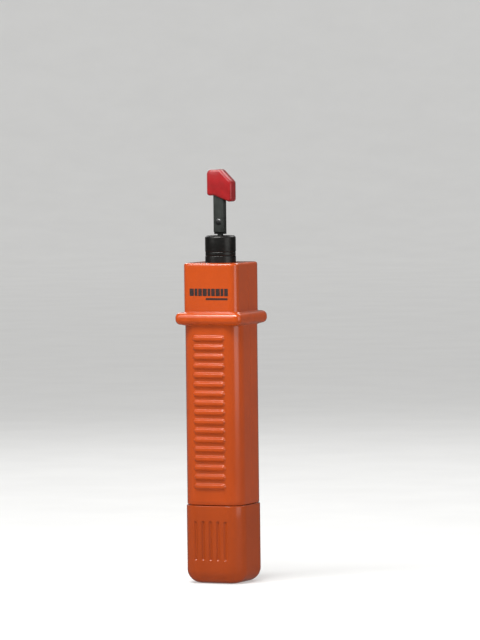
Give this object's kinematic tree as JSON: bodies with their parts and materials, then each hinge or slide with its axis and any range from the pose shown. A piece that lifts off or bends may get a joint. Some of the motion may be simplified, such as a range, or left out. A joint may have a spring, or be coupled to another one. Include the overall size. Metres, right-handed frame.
{
  "type": "impact punch down tool",
  "caption": "Spring-loaded impact punch down tool: square ribbed handle with a finger flange, round spindle head, flat quarter-turn blade under a tip cover, and a pull-off end cap.",
  "frame": {"origin": "centre of the flat foot of the end cap, at the tool's lower end", "axes": "+Z along the tool towards the blade, -Y out of the ribbed front face, +X to the tool's right side"},
  "size_m": [0.034, 0.034, 0.1948],
  "materials": {
    "orange_plastic": "moulded orange plastic with a fine satin texture and rounded edges",
    "black_steel": "blackened turned steel with a soft sheen",
    "blade_steel": "dark oil-blackened flat steel",
    "red_vinyl": "glossy soft red vinyl",
    "bright_steel": "zinc-plated steel",
    "spring_steel": "drawn spring wire",
    "hammer_steel": "machined steel with a thin oil film",
    "brass": "yellow zinc-plated hardened steel",
    "bushing_plastic": "dark acetal",
    "black_rubber": "black nitrile rubber",
    "dial_plastic": "black moulded plastic",
    "clip_plastic": "natural moulded plastic"
  },
  "bodies": {
    "handle": {"front_shell": "orange_plastic", "back_shell": "orange_plastic", "shell_screws": "bright_steel", "nose_bushing": "bushing_plastic", "buffer_washer": "black_rubber", "barrel": "bright_steel", "spring_seat": "hammer_steel", "impact_spring": "spring_steel", "dial_washer": "bright_steel"},
    "spindle": {"spindle": "black_steel", "drive_pin": "bright_steel", "return_spring": "spring_steel", "lock_plate": "hammer_steel", "lock_ball": "bright_steel", "lock_ring": "black_steel"},
    "hammer": {"hammer": "hammer_steel", "latch_spring": "spring_steel"},
    "latch": {"latch_plate": "brass"},
    "trip_slide": {"trip_slide": "bright_steel"},
    "impact_dial": {"impact_dial": "dial_plastic"},
    "blade": {"blade": "blade_steel", "blade_cutter": "blade_steel", "blade_rivet": "bright_steel"},
    "tip_cap": {"tip_cap": "red_vinyl"},
    "end_cap": {"end_cap": "orange_plastic", "blade_clip": "clip_plastic", "spare_blade": "blade_steel"}
  },
  "joints": [
    {"name": "spindle_plunge", "type": "slide", "parent": "handle", "child": "spindle", "axis": [0, 0, 1], "range_m": [-0.0095, 0], "stiffness_N_per_m": 2500, "springref_m": 0.012},
    {"name": "hammer_slide", "type": "slide", "parent": "handle", "child": "hammer", "axis": [0, 0, 1], "range_m": [-0.0095, 0], "deforming": ["impact_spring"]},
    {"name": "latch_trip", "type": "slide", "parent": "hammer", "child": "latch", "axis": [0, 1, 0], "range_m": [-0.0016, 0], "stiffness_N_per_m": 600, "springref_m": 0.002},
    {"name": "dial_turn", "type": "hinge", "parent": "handle", "child": "impact_dial", "pos_m": [0, 0.014, 0.139], "axis": [0, 1, 0], "range_deg": [0, 90]},
    {"name": "trip_shift", "type": "slide", "parent": "handle", "child": "trip_slide", "axis": [0, 0, 1], "range_m": [-0.00226, 0]},
    {"name": "blade_turn", "type": "hinge", "parent": "spindle", "child": "blade", "pos_m": [0, 0, 0.163], "axis": [0, 0, 1], "range_deg": [0, 90]},
    {"name": "tip_cap_pull", "type": "slide", "parent": "blade", "child": "tip_cap", "axis": [0, 0, 1], "range_m": [0, 0.018]},
    {"name": "end_cap_pull", "type": "slide", "parent": "end_cap", "child": "handle", "axis": [0, 0, 1], "range_m": [0, 0.06]}
  ],
  "couplings": [
    {"joint": "hammer_slide", "follows": "spindle_plunge", "ratio": 1},
    {"joint": "dial_turn", "follows": "trip_shift", "rad_per_m": -694.2}
  ]
}
